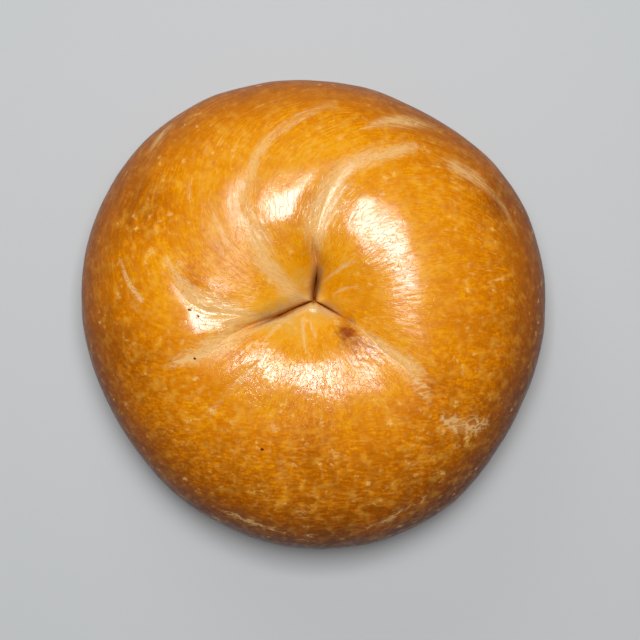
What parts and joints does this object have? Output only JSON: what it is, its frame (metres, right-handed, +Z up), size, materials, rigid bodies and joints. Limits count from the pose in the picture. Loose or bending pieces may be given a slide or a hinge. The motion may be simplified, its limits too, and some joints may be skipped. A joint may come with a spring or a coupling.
{
  "type": "bagel",
  "caption": "Round ring roll whose centre hole has proved shut into a three-way pinch; plump glossy crust, flat underside with a shallow dimple.",
  "frame": {"origin": "under the middle of the outline, on the surface that the bagel rests on", "axes": "+Z up through the crest of the ring; +Y towards the fold that runs straight out from the pinch, and +X to its right seen from above"},
  "size_m": [0.1076, 0.1088, 0.04],
  "materials": {
    "crust": "satin"
  },
  "bodies": {
    "root": {"bagel": "crust"}
  },
  "joints": []
}
